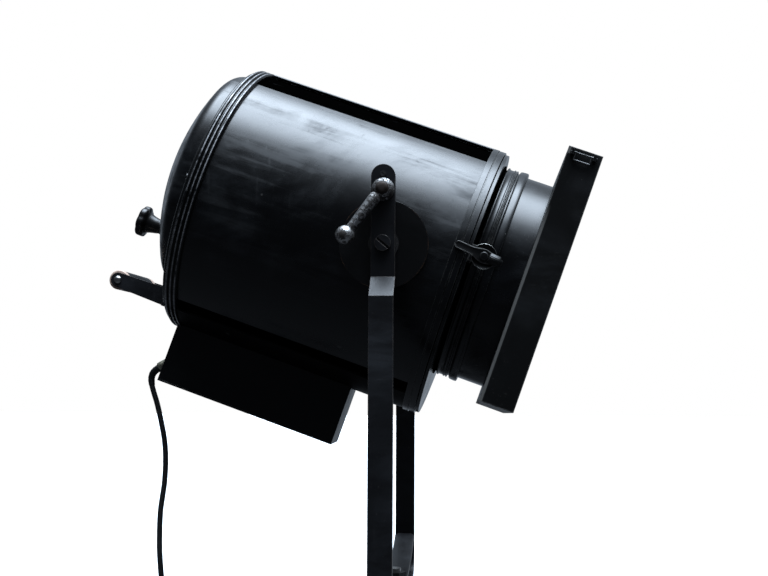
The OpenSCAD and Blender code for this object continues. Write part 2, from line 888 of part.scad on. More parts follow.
// A wire loop that flips up past the holder's top edge
module frame_catch() {
    wire = 2;
    drop = 8.5;
    half = 8.8;
    color(worn) pose_holder() translate([catch_x, -holder_half - 2.8, holder_half - 5.5]) {
        rod_x(-14.5, -half, wire);
        rod_x(half, 14.5, wire);
        for (x = [-half, half]) translate([x, 0, -drop]) cylinder(h = drop, d = wire);
        for (x = [-half, half], z = [-drop, 0]) translate([x, 0, z]) sphere(d = wire);
        translate([0, 0, -drop]) rod_x(-half, half, wire);
    }
}

// Cord

function unit(v) = v / norm(v);
function heading(p, i) = unit(p[min(i + 1, len(p) - 1)] - p[max(i - 1, 0)]);

// A round tube through a list of points
module tube(points, d) {
    sides = 10;
    across = [0, 1, 0];
    rings = [for (i = [0 : len(points) - 1])
        let (ahead = heading(points, i), up = unit(cross(ahead, across)), right = cross(up, ahead))
            for (k = [0 : sides - 1])
                points[i] + d / 2 * (cos(k * 360 / sides) * up + sin(k * 360 / sides) * right)];
    last = (len(points) - 1) * sides;
    polyhedron(rings, concat([[for (k = [sides - 1 : -1 : 0]) k]],
        [for (i = [0 : len(points) - 2], k = [0 : sides - 1]) let (n = (k + 1) % sides)
            [i * sides + k, i * sides + n, i * sides + sides + n, i * sides + sides + k]],
        [[for (k = [0 : sides - 1]) last + k]]), convexity = 4);
}

module cord() {
    color("#141414") {
        tube(cord_route, cord_d);
        translate([coil_at[0], -coil_r, plug_top])
            cylinder(h = tail_low - plug_top, d = cord_d);
    }
}

module cord_coil() {
    color("#141414") translate(coil_at) rotate([0, 90, 0]) rotate_extrude()
        translate([coil_r, 0]) circle(bundle_r, $fn = 48);
}

module coil_tie() {
    color("#2b2b2b") translate(coil_at) translate([0, -coil_r, 0]) difference() {
        translate([0, 0, -5]) cylinder(h = 10, r = bundle_r + 1.6);
        translate([0, 0, -6]) cylinder(h = 12, r = bundle_r + 0.4);
    }
}

module plug() {
    color("#1b1b1b") translate([coil_at[0], -coil_r, plug_top]) {
        translate([0, 0, -plug_l]) cylinder(h = 20, d = 36);
        translate([0, 0, 20 - plug_l]) cylinder(h = plug_l - 20, d1 = 34, d2 = 14);
        for (side = [-1, 1]) translate([0, side * 9.5, -plug_l - 19]) cylinder(h = 19.1, d = 4.8);
    }
}

yoke_bar();
yoke_saddle();
stand_spigot();
stand_fasteners();
pivot_screws();
friction_washers();
clamp_shoe();
shoe_screw();
clamp_hub();
clamp_handle();
friction_discs();
rear_ring();
front_ring();
skin_near();
skin_far();
liner();
tie_rods();
vent_duct();
vent_cap();
bottom_cover();
rear_plate();
rear_dome();
rear_screws();
handle_bracket();
handle_grip();
guide_rods();
rod_brackets();
terminal_box();
box_lid();
lid_screws();
terminal_block();
cable_gland();
hinge_leaf();
hinge_pin();
keeper_button();
focus_knob();
focus_screw();
lamp_carriage();
lamp_socket();
lamp();
reflector();
door_plate();
door_leaf();
snout();
snout_beads();
fresnel_lens();
lens_ring();
latch_bracket();
latch_pivot();
latch_lever();
latch_knob();
holder_box();
holder_guides();
holder_collar();
catch_base();
frame_catch();
cord();
cord_coil();
coil_tie();
plug();
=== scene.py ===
"""Looks of a fresnel spotlight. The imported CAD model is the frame, in metres, with +Z up and +X the
way the lamp points. The head's own directions are AHEAD (along the drum), SIDE (+Y) and UP."""

import json
import math

import bmesh
import bpy
from mathutils import Matrix, Vector


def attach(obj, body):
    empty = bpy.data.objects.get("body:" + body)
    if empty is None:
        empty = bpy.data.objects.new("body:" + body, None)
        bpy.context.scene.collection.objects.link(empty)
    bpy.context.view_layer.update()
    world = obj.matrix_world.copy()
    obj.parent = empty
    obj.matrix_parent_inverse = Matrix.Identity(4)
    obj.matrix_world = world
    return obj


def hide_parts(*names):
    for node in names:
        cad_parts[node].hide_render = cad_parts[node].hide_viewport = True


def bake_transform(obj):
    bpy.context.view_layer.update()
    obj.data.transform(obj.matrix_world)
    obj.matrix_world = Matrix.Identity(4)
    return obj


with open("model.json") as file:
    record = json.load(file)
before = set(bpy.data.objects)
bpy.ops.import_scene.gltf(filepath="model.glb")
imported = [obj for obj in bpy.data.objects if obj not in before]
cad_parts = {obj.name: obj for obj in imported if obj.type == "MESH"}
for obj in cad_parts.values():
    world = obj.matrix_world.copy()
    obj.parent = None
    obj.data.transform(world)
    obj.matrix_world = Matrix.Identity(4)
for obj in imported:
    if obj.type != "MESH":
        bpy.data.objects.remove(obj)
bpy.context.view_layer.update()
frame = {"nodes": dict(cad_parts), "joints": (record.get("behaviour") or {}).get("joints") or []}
nodes = frame["nodes"]
joints = {joint["name"]: joint for joint in frame["joints"]}
MM = 0.001

# The head's frame, from the CAD's joints
PIVOT = Vector(joints["tilt"]["pos_m"])
AHEAD = Vector(joints["focus_turn"]["axis"]).normalized()
SIDE = Vector((0, 1, 0))
UP = AHEAD.cross(SIDE).normalized()


def head(s, y, t):
    """A place on the head, from millimetres along the drum, across it and above its axis."""
    return PIVOT + (s * AHEAD + y * SIDE + t * UP) * MM


# ---------------------------------------------------------------- camera

CAMERA_AT = (0.0972, -1.3157, 0.2749)
LOOK = Vector((-0.0836, 0.9935, 0.0772)).normalized()
SKYWARD = Vector((0.0018, -0.0774, 0.9970))     # the view's up, which sets its roll
SENSOR = 36
LENS = 51.85

right = LOOK.cross(SKYWARD).normalized()
facing = Matrix((right, right.cross(LOOK), -LOOK)).transposed().to_4x4()
camera = bpy.data.objects.new("camera", bpy.data.cameras.new("camera"))
camera.matrix_world = Matrix.Translation(CAMERA_AT) @ facing
camera.data.sensor_width = SENSOR
camera.data.lens = LENS
camera.data.clip_end = 100
bpy.context.scene.collection.objects.link(camera)
bpy.context.scene.camera = camera
bpy.context.scene.view_settings.view_transform = "Standard"


# ---------------------------------------------------------------- mesh helpers


def piece(name, bm, body, material, *stands_for, smooth=35):
    """A mesh object on a body, shaded smooth except where its faces meet at more than an angle.
    It rides on no body where that is left empty, and it may stand for CAD nodes."""
    bmesh.ops.recalc_face_normals(bm, faces=bm.faces)
    mesh = bpy.data.meshes.new(name)
    bm.to_mesh(mesh)
    bm.free()
    mesh.polygons.foreach_set("use_smooth", [True] * len(mesh.polygons))
    mesh.set_sharp_from_angle(angle=math.radians(smooth))
    obj = bpy.data.objects.new(name, mesh)
    bpy.context.scene.collection.objects.link(obj)
    mesh.materials.append(material)
    if body:
        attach(obj, body)
    if stands_for:
        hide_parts(*stands_for)
    return obj


def basis(along):
    """Two directions square to a given one."""
    along = along.normalized()
    across = along.cross(SIDE if abs(along.y) < 0.9 else AHEAD).normalized()
    return across, along.cross(across)


def join(bm, loops):
    """Faces between neighbouring loops of as many vertices."""
    for a, b in zip(loops, loops[1:]):
        for k in range(len(a)):
            n = (k + 1) % len(a)
            bm.faces.new((a[k], a[n], b[n], b[k]))


def lathe(bm, origin, along, profile, sides=64, wave=None):
    """Turns a profile of (distance along, radius), in millimetres, into a solid, or into a ring
    when it ends where it starts. wave scales the radius by angle and distance."""
    across, other = basis(along)
    along = along.normalized()
    rings = []
    for distance, radius in profile:
        centre = origin + along * distance * MM
        if radius < 1e-6:
            rings.append([bm.verts.new(centre)])
            continue
        ring = []
        for k in range(sides):
            angle = 2 * math.pi * k / sides
            r = radius * MM * (wave(angle, distance) if wave else 1)
            ring.append(bm.verts.new(
                centre + r * (math.cos(angle) * across + math.sin(angle) * other)))
        rings.append(ring)
    closed = profile[0] == profile[-1]
    if closed:
        bmesh.ops.delete(bm, geom=rings.pop(), context="VERTS")
    for a, b in zip(rings, rings[1:] + (rings[:1] if closed else [])):
        for k in range(sides):
            n = (k + 1) % sides
            corners = [a[k % len(a)], a[n % len(a)], b[n % len(b)], b[k % len(b)]]
            kept = list(dict.fromkeys(corners))
            if len(kept) > 2:
                bm.faces.new(kept)
    for ring in () if closed else (rings[0], rings[-1]):
        if len(ring) > 1:
            bm.faces.new(ring)


def tube(bm, points, radius, sides, taper=None):
    """A round tube along points, with a frame carried from point to point so that it never twists.
    taper scales the radius by the share of the way along."""
    normal = basis(points[1] - points[0])[0]
    rings = []
    for i, p in enumerate(points):
        ahead = points[min(i + 1, len(points) - 1)]
        heading = (ahead - points[max(i - 1, 0)]).normalized()
        normal = (normal - heading * normal.dot(heading)).normalized()
        other = heading.cross(normal)
        r = radius * (taper(i / (len(points) - 1)) if taper else 1)
        rings.append([bm.verts.new(p + r * (math.cos(a) * normal + math.sin(a) * other))
                      for a in (2 * math.pi * k / sides for k in range(sides))])
    join(bm, rings)
    bm.faces.new(rings[0])
    bm.faces.new(rings[-1])


def slab(bm, origin, axes, size, bevel=0.0):
    """A block centred on origin, along three directions, with rounded edges, in millimetres."""
    made = bmesh.ops.create_cube(bm, size=1)["verts"]
    turned = Matrix(axes).transposed()
    for v in made:
        v.co = origin + turned @ Vector([c * w * MM for c, w in zip(v.co, size)])
    if bevel:
        edges = list({e for v in made for e in v.link_edges})
        bmesh.ops.bevel(bm, geom=edges, offset=bevel * MM, segments=3, profile=0.5,
                        affect="EDGES")


def smooth_line(points, steps):
    """A Catmull-Rom line through points."""
    line = []
    for i in range(len(points) - 1):
        p0, p1, p2, p3 = (points[max(i - 1, 0)], points[i], points[i + 1],
                          points[min(i + 2, len(points) - 1)])
        for k in range(steps):
            t = k / steps
            line.append(0.5 * (2 * p1 + (p2 - p0) * t + (2 * p0 - 5 * p1 + 4 * p2 - p3) * t * t
                               + (3 * p1 - p0 - 3 * p2 + p3) * t ** 3))
    return line + [points[-1]]


# ---------------------------------------------------------------- materials

class Graph:
    """A node tree, with short calls for the nodes that the finishes and the sky share."""

    def __init__(self, name):
        self.material = bpy.data.materials.new(name)
        self.material.use_nodes = True
        self.tree = self.material.node_tree
        self.shader = self.tree.nodes["Principled BSDF"]
        self.coords = self.tree.nodes.new("ShaderNodeTexCoord").outputs["Object"]

    @classmethod
    def of(cls, tree):
        """The same short calls for a tree that isn't a material's."""
        made = cls.__new__(cls)
        made.tree = tree
        return made

    def node(self, kind, links=(), **values):
        made = self.tree.nodes.new(kind)
        for key, value in values.items():
            setattr(made, key, value)
        for socket, value in dict(links).items():
            self.feed(made.inputs[socket], value)
        return made

    def feed(self, socket, value):
        """Links a node's output to a socket, or sets the socket to a constant."""
        if isinstance(value, bpy.types.NodeSocket):
            self.tree.links.new(value, socket)
        else:
            socket.default_value = value

    def stretch(self, scale, turned=(0, 0, 0)):
        """The object's coordinates, scaled and turned, so that a noise is drawn out."""
        return self.node("ShaderNodeMapping", {
            "Vector": self.coords, "Scale": scale, "Rotation": turned}).outputs["Vector"]

    def noise(self, scale, detail=4, rough=0.55, coords=None, warp=0.0):
        return self.node("ShaderNodeTexNoise", {
            "Vector": coords or self.coords, "Scale": scale, "Detail": detail,
            "Roughness": rough, "Distortion": warp}).outputs["Fac"]

    def wave(self, scale, direction, warp):
        return self.node("ShaderNodeTexWave", {
            "Vector": self.coords, "Scale": scale, "Distortion": warp},
            bands_direction=direction).outputs["Fac"]

    def ramp(self, value, low, high, out_low=0.0, out_high=1.0):
        return self.node("ShaderNodeMapRange", {
            "Value": value, "From Min": low, "From Max": high, "To Min": out_low,
            "To Max": out_high}, clamp=True).outputs["Result"]

    def math(self, kind, a, b=0.0):
        return self.node("ShaderNodeMath", {0: a, 1: b}, operation=kind).outputs[0]

    def plus(self, a, b):
        return self.math("ADD", a, b)

    def minus(self, a, b):
        return self.math("SUBTRACT", a, b)

    def times(self, a, b):
        return self.math("MULTIPLY", a, b)

    def most(self, a, b):
        return self.math("MAXIMUM", a, b)

    def mix(self, factor, a, b):
        made = self.tree.nodes.new("ShaderNodeMix")
        made.data_type = "RGBA"
        self.feed(made.inputs["Factor"], factor)
        self.feed(made.inputs["A"], a)
        self.feed(made.inputs["B"], b)
        return made.outputs["Result"]

    def vector(self, kind, a, b=(0, 0, 0), out="Vector"):
        return self.node("ShaderNodeVectorMath", {0: a, 1: b}, operation=kind).outputs[out]

    def dot(self, a, b):
        return self.vector("DOT_PRODUCT", a, b, "Value")

    def scaled(self, colour, amount):
        return self.node("ShaderNodeVectorMath", {0: colour, "Scale": amount},
                         operation="SCALE").outputs["Vector"]

    def rounded(self, radius):
        """The normal as if the edges were rounded."""
        return self.node("ShaderNodeBevel", {"Radius": radius}, samples=4).outputs["Normal"]

    def edges(self, radius):
        """1 at sharp edges and 0 on flats."""
        flat = self.node("ShaderNodeNewGeometry").outputs["Normal"]
        return self.ramp(self.dot(self.rounded(radius), flat), 0.995, 0.90)

    def bump(self, height, strength, distance, normal=None):
        links = {"Height": height, "Strength": strength, "Distance": distance}
        if normal:
            links["Normal"] = normal
        return self.node("ShaderNodeBump", links).outputs["Normal"]

    def set(self, **values):
        for key, value in values.items():
            self.feed(self.shader.inputs[key.replace("_", " ")], value)
        return self.material


def rgba(r, g, b):
    return (r, g, b, 1.0)


# What lies on old enamel, and the undercoat that shows through at edges, which on some paints also
# stands for painted edge highlights
HAZE = rgba(0.11, 0.125, 0.15)
SMEAR = rgba(0.15, 0.155, 0.165)
SCRATCH = rgba(0.16, 0.16, 0.165)
DUST = rgba(0.20, 0.19, 0.175)
PRIMER_AND_GLINT = (0.17, 0.165, 0.155)
LINT = rgba(0.22, 0.2, 0.18)


def holder_rim(g, out, behind, half, lift):
    """1 on the folded rear edge of a square box, where paint() lays a light colour that is partly
    wear
    and partly a painted highlight line: its distance ahead of the pivot, half its width and its lift
    over the drum's axis, in metres."""
    across = g.math("ABSOLUTE", g.dot(out, SIDE))
    tall = g.math("ABSOLUTE", g.minus(g.dot(out, UP), lift))
    rim = g.ramp(g.most(across, tall), half - 0.003, half - 0.002)
    return g.times(rim, g.ramp(g.dot(out, AHEAD), behind + 0.0034, behind + 0.0026))


def paint(name, colour, rough=(0.17, 0.40), wear=0.6, dust=0.4, specular=0.5, peel=0.12, haze=0.5,
          smears=0.0, bare_and_glint=PRIMER_AND_GLINT, rub=(0.34, 0.56), edge=0.0012, glint_radii=None, fold=None):
    """Old gloss enamel: clouds of wiped haze, drips, hair scratches, dust, and light edges that are
    partly wear and partly painted highlight.

    wear, dust, haze and smears say how much of each there is, and peel how deep the orange peel is.
    The colour bare_and_glint shows at edges sharper than the radius edge, where a noise passes
    through rub; where rub lets it run almost unbroken, it paints edge highlights as well as wear.
    glint_radii moves that colour to a range of distances from the drum's axis, a painted highlight on
    bead tops, and fold adds a box's rear rim, partly wear and partly a painted highlight line.
    """
    g = Graph(name)
    clouds = g.noise(6, 7, 0.62, warp=0.9)
    wiped = g.noise(11, 6, 0.66, g.stretch((1.0, 1.2, 2.6), (0, 0.34, 0)), warp=0.6)
    film = g.times(g.ramp(clouds, 0.42, 0.66), g.ramp(wiped, 0.40, 0.68))
    runs = g.noise(22, 2, 0.5, g.stretch((5, 5, 0.35)))
    drips = g.times(g.ramp(runs, 0.66, 0.72), g.ramp(clouds, 0.45, 0.6))
    hairs = g.noise(36, 5, 0.7, g.stretch((0.6, 9, 6), (0.3, 0.9, 0.35)))
    crossed = g.noise(32, 5, 0.7, g.stretch((8, 0.8, 7), (0.9, 0.2, 1.1)))
    scratch = g.most(g.ramp(hairs, 0.66, 0.69), g.ramp(crossed, 0.675, 0.705))
    scratch = g.times(scratch, g.ramp(clouds, 0.47, 0.6))
    specks = g.times(g.ramp(g.noise(520, 2), 0.68, 0.75), g.ramp(g.noise(18, 3), 0.42, 0.7))

    # Smears along the drum
    out = g.vector("SUBTRACT", g.coords, PIVOT)
    drawn_out = g.node("ShaderNodeCombineXYZ", {
        "X": g.times(g.dot(out, AHEAD), 0.09), "Y": g.dot(out, SIDE),
        "Z": g.dot(out, UP)}).outputs[0]
    strokes = g.noise(70, 5, 0.6, drawn_out, warp=0.5)
    smear = g.times(g.ramp(strokes, 0.50, 0.66), g.ramp(clouds, 0.40, 0.58))
    smear = g.times(smear, smears)

    # Wear at the edges, and chips; the same light colour also paints highlights on bead tops, a box's
    # rim and, where rub runs it unbroken, along edges
    if glint_radii:
        radius = g.vector("LENGTH", g.vector("CROSS_PRODUCT", out, AHEAD), out="Value")
        rub_and_glint = g.ramp(radius, *glint_radii)
    else:
        rub_and_glint = g.edges(edge)
    if fold:
        rub_and_glint = g.most(rub_and_glint, holder_rim(g, out, *fold))
    wear_and_glint = g.times(g.times(rub_and_glint, g.ramp(g.noise(48, 5, 0.7), *rub)), wear)
    wear_and_glint = g.most(wear_and_glint, g.times(g.ramp(g.noise(70, 3, 0.6), 0.735, 0.75), wear))

    base = g.mix(g.times(film, haze * 0.10), rgba(*colour), HAZE)
    base = g.mix(g.times(smear, 0.06), base, SMEAR)
    base = g.mix(g.times(scratch, 0.10), base, SCRATCH)
    base = g.mix(g.times(specks, dust * 0.5), base, DUST)
    base = g.mix(wear_and_glint, base, rgba(*bare_and_glint))
    gloss = g.ramp(g.plus(g.times(film, 0.6), g.times(clouds, 0.4)), 0.14, 0.75, *rough)
    gloss = g.plus(gloss, g.times(smear, 0.22))
    gloss = g.plus(gloss, g.times(g.most(scratch, drips), 0.14))
    gloss = g.plus(gloss, g.times(g.most(specks, wear_and_glint), 0.2))
    height = g.minus(g.times(g.noise(240, 3), peel), g.times(scratch, 0.3))
    height = g.minus(height, g.times(wear_and_glint, 0.5))
    return g.set(Base_Color=base, Roughness=gloss, Metallic=g.times(wear_and_glint, 0.35),
                 Specular_IOR_Level=specular,
                 Normal=g.bump(height, 0.3, 0.0001, g.rounded(0.0007)))


def metal(name, colour, tint, rough=(0.22, 0.45), brush=(1, 1, 1), patches=0.0,
          patch=(0.04, 0.03, 0.022), edge=0.0008, grain=120, reach=(0.50, 0.56)):
    """Bare metal: fine tool marks, tarnish, and where asked patches of old paint or rust. A noise
    of the scale grain makes a patch where it passes through reach."""
    g = Graph(name)
    tarnish = g.noise(26, 6, 0.65, warp=0.4)
    marks = g.noise(420, 3, 0.6, g.stretch(brush))
    base = g.mix(g.ramp(tarnish, 0.36, 0.66), rgba(*tint), rgba(*colour))
    gloss = g.plus(g.ramp(tarnish, 0.3, 0.7, *rough[::-1]), g.ramp(marks, 0.3, 0.7, -0.05, 0.05))
    spots = g.noise(grain, 6, 0.72, warp=0.8)
    cover = g.times(g.ramp(spots, *reach), patches)
    base = g.mix(cover, base, rgba(*patch))
    gloss = g.plus(gloss, g.times(cover, 0.2))
    height = g.plus(g.times(marks, 0.25), g.times(cover, 0.8))
    return g.set(Base_Color=base, Roughness=gloss, Metallic=g.ramp(cover, 0, 1, 1, 0.0),
                 Normal=g.bump(height, 0.4, 0.00015, g.rounded(edge)))


def moulded(name, colour, rough=(0.35, 0.6), grain=420, depth=0.00008, mottle=0.25):
    """Moulded plastic, rubber or ceramic: a fine grain, small shade changes and lint."""
    g = Graph(name)
    shade = g.noise(22, 5, 0.6, warp=0.3)
    dark = tuple(c * (1 - mottle) for c in colour)
    light = tuple(min(1, c * (1 + mottle)) for c in colour)
    base = g.mix(g.ramp(shade, 0.32, 0.68), rgba(*dark), rgba(*light))
    base = g.mix(g.times(g.ramp(g.noise(600, 2), 0.66, 0.75), 0.25), base, LINT)
    return g.set(Base_Color=base, Roughness=g.ramp(shade, 0.3, 0.7, *rough),
                 Specular_IOR_Level=0.45,
                 Normal=g.bump(g.noise(grain, 4, 0.6), 0.4, depth, g.rounded(0.0006)))


def woven(name, colour):
    """Narrow webbing: two crossed ribs with fuzz between them."""
    g = Graph(name)
    weave = g.times(g.wave(420, "X", 0.4), g.wave(420, "Z", 0.4))
    fuzz = g.noise(900, 3)
    dark = rgba(*(c * 0.5 for c in colour))
    return g.set(Base_Color=g.mix(g.ramp(g.plus(weave, fuzz), 0.3, 1.3), dark, rgba(*colour)),
                 Roughness=g.ramp(fuzz, 0.3, 0.7, 0.75, 0.95), Sheen_Weight=0.4,
                 Specular_IOR_Level=0.25, Normal=g.bump(weave, 0.6, 0.0003))


def glass(name, tint, rough=(0.02, 0.09), smear=12):
    """Pressed glass with a faint tint, wiped smears and a few seeds."""
    g = Graph(name)
    smears = g.noise(smear, 6, 0.65, g.stretch((1, 4, 1.5)))
    seeds = g.ramp(g.noise(700, 2), 0.68, 0.72)
    clear = rgba(0.97, 0.985, 0.98)
    return g.set(Base_Color=g.mix(g.ramp(smears, 0.3, 0.7), rgba(*tint), clear),
                 Roughness=g.plus(g.ramp(smears, 0.35, 0.75, *rough), g.times(seeds, 0.15)),
                 IOR=1.47, Transmission_Weight=1.0,
                 Normal=g.bump(g.plus(smears, seeds), 0.15, 0.0002))


BLACK = (0.0026, 0.0027, 0.0030)
BEAD_GLINT_RADII = (0.16282, 0.16297)             # radii of the rear ring's bead tops, where a bright colour paints their highlight, broken like wear
HOLDER_FOLD = (0.148, 0.1441, 0.0186)       # the holder's rear sheet, half width and lift

skin_paint = paint("skin_paint", BLACK, rough=(0.18, 0.50), wear=0.3, dust=0.25, haze=1.0,
                   smears=1.0)
ring_paint = paint("ring_paint", BLACK, rough=(0.18, 0.36), wear=0.6, dust=0.3, peel=0.05,
                   haze=0.4)
# The bead tops take a bright colour at a band of radii: a painted highlight along each bead, partly
# wear.
bead_paint = paint("bead_paint", BLACK, rough=(0.18, 0.32), wear=1.0, dust=0.1, peel=0.03,
                   haze=0.3, rub=(0.36, 0.54), bare_and_glint=(0.42, 0.42, 0.43), glint_radii=BEAD_GLINT_RADII)
frame_paint = paint("frame_paint", (0.0068, 0.0068, 0.0080), rough=(0.34, 0.54), wear=0.9,
                    dust=0.5, specular=0.45, haze=1.6, bare_and_glint=(0.13, 0.105, 0.09))
disc_paint = paint("disc_paint", (0.0030, 0.0028, 0.0028), rough=(0.30, 0.50), wear=1.0, dust=0.3,
                   specular=0.4, rub=(0.48, 0.62), edge=0.002, bare_and_glint=(0.085, 0.045, 0.025))
# Its rub range lets the undercoat colour run almost unbroken along edges: partly wear, partly painted
# edge highlights.
plate_paint = paint("plate_paint", (0.0040, 0.0039, 0.0039), rough=(0.38, 0.62), wear=1.0,
                    dust=0.5, specular=0.3, haze=0.7, rub=(0.20, 0.42), edge=0.002)
# Its fold rim and edges take the undercoat colour: partly wear, partly a painted highlight line along
# the box's rear edge.
fold_paint = paint("fold_paint", (0.0036, 0.0035, 0.0035), rough=(0.38, 0.62), wear=1.0, dust=0.5,
                   specular=0.28, haze=0.9, rub=(0.16, 0.36), edge=0.002, fold=HOLDER_FOLD)
snout_paint = paint("snout_paint", BLACK, rough=(0.16, 0.38), wear=0.6, dust=0.4, specular=0.42,
                    haze=0.9)
box_paint = paint("box_paint", (0.0014, 0.0014, 0.0016), rough=(0.30, 0.50), wear=0.4, dust=0.15,
                  specular=0.4, haze=0.15)
# The darkest paint, almost unreflecting, for the bottom cover under the drum.
near_black_paint = paint("near_black_paint", (0.0008, 0.0008, 0.0009), rough=(0.45, 0.65), wear=0.3, dust=0.1,
                   specular=0.10, haze=0.1)
# Dead black that reflects nothing; on the strips in the drum's gaps and on the snout's flange it is
# painted shade.
matt_black = paint("matt_black", (0.0004, 0.0004, 0.0004), rough=(0.75, 0.92), wear=0.0,
                   dust=0.02, specular=0.0, peel=0.6, haze=0.0)
rusty_metal = metal("rusty_metal", (0.10, 0.085, 0.075), (0.035, 0.025, 0.02), rough=(0.42, 0.62),
                    patches=0.9, patch=(0.020, 0.011, 0.007), edge=0.0004, grain=150,
                    reach=(0.42, 0.50))
lever_metal = metal("lever_metal", (0.60, 0.61, 0.62), (0.34, 0.33, 0.32), rough=(0.28, 0.46),
                    patches=0.95, patch=(0.014, 0.009, 0.0065), grain=190, reach=(0.47, 0.51))
ball_metal = metal("ball_metal", (0.62, 0.62, 0.62), (0.40, 0.39, 0.37), rough=(0.22, 0.40),
                   patches=0.95, patch=(0.016, 0.010, 0.007), grain=75, reach=(0.45, 0.51))
screw_metal = metal("screw_metal", (0.13, 0.13, 0.13), (0.035, 0.034, 0.033), rough=(0.34, 0.55),
                    patches=0.6, patch=(0.012, 0.010, 0.008), edge=0.0004)
bright_metal = metal("bright_metal", (0.62, 0.62, 0.60), (0.38, 0.37, 0.35), rough=(0.18, 0.34),
                     brush=(8, 1, 8), patches=0.08, patch=(0.12, 0.09, 0.06))
spigot_metal = metal("spigot_metal", (0.58, 0.58, 0.56), (0.34, 0.33, 0.31), rough=(0.22, 0.42),
                     brush=(1, 1, 14), patches=0.25, patch=(0.14, 0.11, 0.08))
brass = metal("brass", (0.72, 0.70, 0.56), (0.42, 0.40, 0.30), rough=(0.3, 0.5), patches=0.3,
              patch=(0.03, 0.027, 0.022))
cast_metal = metal("cast_metal", (0.42, 0.43, 0.44), (0.24, 0.24, 0.25), rough=(0.42, 0.62),
                   patches=0.1)
mirror_metal = metal("mirror_metal", (0.88, 0.88, 0.87), (0.72, 0.72, 0.72), rough=(0.06, 0.16))
fibre = moulded("fibre", (0.006, 0.0045, 0.0038), rough=(0.6, 0.85), grain=260, depth=0.0002)
grip_tan = moulded("grip_tan", (0.62, 0.45, 0.36), rough=(0.30, 0.5), grain=180, depth=0.00012,
                   mottle=0.3)
ceramic = moulded("ceramic", (0.70, 0.66, 0.58), rough=(0.35, 0.55), mottle=0.1)
bakelite = moulded("bakelite", (0.0045, 0.0042, 0.0042), rough=(0.14, 0.32), grain=300,
                   depth=0.00005)
rubber = moulded("rubber", (0.0055, 0.0055, 0.006), rough=(0.42, 0.62), grain=700, depth=0.00006)
webbing = woven("webbing", (0.03, 0.03, 0.034))
lens_glass = glass("lens_glass", (0.86, 0.93, 0.91))
bulb_glass = glass("bulb_glass", (0.95, 0.97, 0.97), rough=(0.0, 0.05), smear=30)

# Every CAD node's finish. The ones that a detailed piece stands for have one too.
FINISHES = {
    skin_paint: "skin_near skin_far rear_dome",
    ring_paint: "front_ring door_plate vent_cap rear_plate",
    disc_paint: "friction_discs",
    bead_paint: "rear_ring",
    frame_paint: "yoke_bar yoke_saddle handle_bracket clamp_shoe rod_brackets pivot_screws",
    plate_paint: "hinge_leaf door_leaf latch_bracket latch_lever holder_guides",
    fold_paint: "holder_box",
    box_paint: "terminal_box box_lid catch_base",
    near_black_paint: "bottom_cover",
    snout_paint: "snout snout_beads",
    matt_black: "liner vent_duct lens_ring holder_collar",
    lever_metal: "clamp_hub clamp_handle",
    screw_metal: """stand_fasteners shoe_screw tie_rods rear_screws lid_screws latch_pivot
                 latch_knob frame_catch""",
    bright_metal: "guide_rods hinge_pin keeper_button focus_screw",
    spigot_metal: "stand_spigot",
    brass: "cable_gland",
    cast_metal: "lamp_carriage",
    mirror_metal: "reflector",
    fibre: "friction_washers",
    grip_tan: "handle_grip",
    ceramic: "lamp_socket terminal_block",
    bakelite: "focus_knob",
    rubber: "cord cord_coil plug",
    webbing: "coil_tie",
    lens_glass: "fresnel_lens",
    bulb_glass: "lamp",
}
for finish, names in FINISHES.items():
    for name in names.split():
        slots = nodes[name].data.materials
        slots.clear()
        slots.append(finish)


# ---------------------------------------------------------------- detailed pieces

# Places on the head, in millimetres along the drum, across it and above its axis
SKIN_ENDS = (-208.8, 68.8)              # the side skins' rear and front ends
KNOB_AT = (-307, 0, -57)
PLATE_BACK = -227.05                    # the rear plate's outer face
SCREW_CIRCLE = 153.5                    # the radius that the rear plate's screws stand on
GRIP_AT = (-293, 0, -133)
ARM_SIDE = 58.65                        # the handle arms' outer faces, across
GLAND_AT = (-217, 0, -208)
SNOUT_AXIS = 18.6                       # how far the lens door's axis lies above the drum's
SNOUT_ROOT = (87.6, 0, SNOUT_AXIS)
SNOUT_RADIUS = 124.7
LENS_AT = (100, 0, SNOUT_AXIS)
BUTTON_AT = (74, -164.5, 26)            # the keeper's button, which the latch lies over

CLAMP_FACE = 177.2                      # the clamp's flange, out from the drum's axis
LEVER_TURN = 142.5                      # degrees that the handle hangs from straight up
LEVER_LEAN = 7                          # degrees that it leans out from the drum


def arc_strip(bm, radii, angles, ends, steps=12):
    """A curved strip along the drum between two angles, in degrees, with shallow grooves in it."""
    inner, outer = radii
    loops = []
    for s in ends:
        rim = []
        for layer in (outer, inner):
            row = []
            for k in range(steps + 1):
                angle = math.radians(angles[0] + (angles[1] - angles[0]) * k / steps)
                r = layer - (0.8 if k % 3 == 1 else 0.0)
                row.append(bm.verts.new(head(s, r * math.cos(angle), r * math.sin(angle))))
            rim += row if layer == outer else row[::-1]
        loops.append(rim)
    join(bm, loops)
    for loop in loops:
        last = len(loop) - 1
        for k in range(steps):
            bm.faces.new((loop[k], loop[k + 1], loop[last - 1 - k], loop[last - k]))


def shade_strips():
    """Dead black strips in the gaps between the skins, the vent's cap and the cover: painted shade
    that keeps these recesses black.
    """
    bm = bmesh.new()
    for low, high in ((56.9, 77.2), (-60.2, -55.2)):
        for angles in ((low, high), (180 - high, 180 - low)):
            arc_strip(bm, (156.3, 157.3), angles, SKIN_ENDS)
    piece("shade_strips", bm, "head", matt_black)


